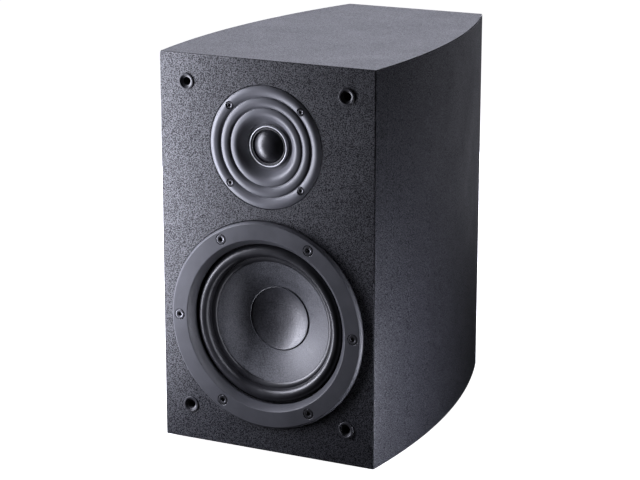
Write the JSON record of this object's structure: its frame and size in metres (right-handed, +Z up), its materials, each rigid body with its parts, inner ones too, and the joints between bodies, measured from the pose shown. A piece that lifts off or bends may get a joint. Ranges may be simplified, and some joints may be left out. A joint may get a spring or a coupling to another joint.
{
  "type": "bookshelf speaker",
  "caption": "Compact bookshelf loudspeaker: bowed-side cabinet, ridged tweeter faceplate, bolted cone woofer, grille sockets, rear bass port and screw-down binding posts.",
  "frame": {"origin": "middle of the bounding box's bottom face, on the surface the feet stand on", "axes": "+Z up; the baffle with the drivers looks along -Y, the port and the terminals face +Y; +X is to the right seen from the front"},
  "size_m": [0.2126, 0.31, 0.3475],
  "materials": {
    "vinyl": "charcoal black pebbled vinyl, satin",
    "mdf": "raw fibreboard",
    "wadding": "white polyester wadding",
    "foot_rubber": "matte rubber",
    "socket_rubber": "glossy black, moulded",
    "tweeter_plate": "dark grey satin",
    "trim_ring": "bright",
    "tweeter_fabric": "coated black cloth",
    "dome_fabric": "coated black silk, glossy",
    "coil_wire": "enamelled copper wire",
    "plated_steel": "zinc plated",
    "ferrite": "sintered, matte",
    "black_screw": "black oxide",
    "cast_frame": "dark grey satin paint",
    "surround_rubber": "semi-gloss black",
    "cone_paper": "dark coated paper, fine grain",
    "cap_paper": "dark coated paper, smoother than the cone",
    "spider_cloth": "resin-stiffened cloth",
    "moulded_plastic": "black, fine texture",
    "terminal_brass": "gold plated",
    "knob_red": "red, clear-moulded",
    "knob_black": "black",
    "circuit_board": "green solder resist",
    "film_capacitor": "yellow wrap",
    "lead_sleeve": "flexible sleeve"
  },
  "bodies": {
    "cabinet": {"front_baffle": "vinyl", "left_side_panel": "vinyl", "right_side_panel": "vinyl", "top_panel": "vinyl", "bottom_panel": "vinyl", "rear_panel": "vinyl", "cross_brace": "mdf", "damping_pad": "wadding", "foot_front_left": "foot_rubber", "foot_front_right": "foot_rubber", "foot_rear_left": "foot_rubber", "foot_rear_right": "foot_rubber", "grille_socket_top_left": "socket_rubber", "grille_socket_top_right": "socket_rubber", "grille_socket_bottom_left": "socket_rubber", "grille_socket_bottom_right": "socket_rubber", "tweeter_faceplate": "tweeter_plate", "tweeter_trim_ring": "trim_ring", "tweeter_surround": "tweeter_fabric", "crossover_inductor": "coil_wire", "tweeter_top_plate": "plated_steel", "tweeter_back_plate": "plated_steel", "woofer_top_plate": "plated_steel", "woofer_back_plate": "plated_steel", "tweeter_magnet": "ferrite", "woofer_magnet": "ferrite", "tweeter_screw_1": "black_screw", "tweeter_screw_2": "black_screw", "tweeter_screw_3": "black_screw", "tweeter_screw_4": "black_screw", "woofer_screw_1": "black_screw", "woofer_screw_2": "black_screw", "woofer_screw_3": "black_screw", "woofer_screw_4": "black_screw", "woofer_screw_5": "black_screw", "woofer_screw_6": "black_screw", "terminal_screw_1": "black_screw", "terminal_screw_2": "black_screw", "terminal_screw_3": "black_screw", "terminal_screw_4": "black_screw", "woofer_basket": "cast_frame", "woofer_surround": "surround_rubber", "woofer_spider": "spider_cloth", "bass_reflex_port": "moulded_plastic", "terminal_cup": "moulded_plastic", "binding_stud_red": "terminal_brass", "binding_stud_black": "terminal_brass", "crossover_board": "circuit_board", "crossover_capacitor": "film_capacitor", "tweeter_lead": "lead_sleeve", "woofer_lead": "lead_sleeve"},
    "woofer_motor": {"woofer_cone": "cone_paper", "woofer_dust_cap": "cap_paper", "woofer_voice_coil": "coil_wire"},
    "tweeter_motor": {"tweeter_dome": "dome_fabric", "tweeter_voice_coil": "coil_wire"},
    "red_collar": {"binding_collar_red": "terminal_brass"},
    "red_knob": {"binding_knob_red": "knob_red"},
    "black_collar": {"binding_collar_black": "terminal_brass"},
    "black_knob": {"binding_knob_black": "knob_black"}
  },
  "joints": [
    {"name": "woofer_travel", "type": "slide", "parent": "cabinet", "child": "woofer_motor", "axis": [0, -1, 0], "range_m": [-0.0045, 0.0045], "stiffness_N_per_m": 1000, "deforming": ["woofer_surround", "woofer_spider"]},
    {"name": "tweeter_travel", "type": "slide", "parent": "cabinet", "child": "tweeter_motor", "axis": [0, -1, 0], "range_m": [-0.0005, 0.0005], "stiffness_N_per_m": 1000, "deforming": ["tweeter_surround"]},
    {"name": "red_collar_lift", "type": "slide", "parent": "cabinet", "child": "red_collar", "axis": [0, 1, 0], "range_m": [0, 0.0041]},
    {"name": "red_knob_turn", "type": "hinge", "parent": "red_collar", "child": "red_knob", "pos_m": [-0.0145, 0.144, 0.1175], "axis": [0, 1, 0], "range_deg": [0, 1800]},
    {"name": "black_collar_lift", "type": "slide", "parent": "cabinet", "child": "black_collar", "axis": [0, 1, 0], "range_m": [0, 0.0041]},
    {"name": "black_knob_turn", "type": "hinge", "parent": "black_collar", "child": "black_knob", "pos_m": [0.0145, 0.144, 0.1175], "axis": [0, 1, 0], "range_deg": [0, 1800]}
  ],
  "couplings": [
    {"joint": "red_collar_lift", "follows": "red_knob_turn", "m_per_rad": 0.00012732},
    {"joint": "black_collar_lift", "follows": "black_knob_turn", "m_per_rad": 0.00012732}
  ]
}
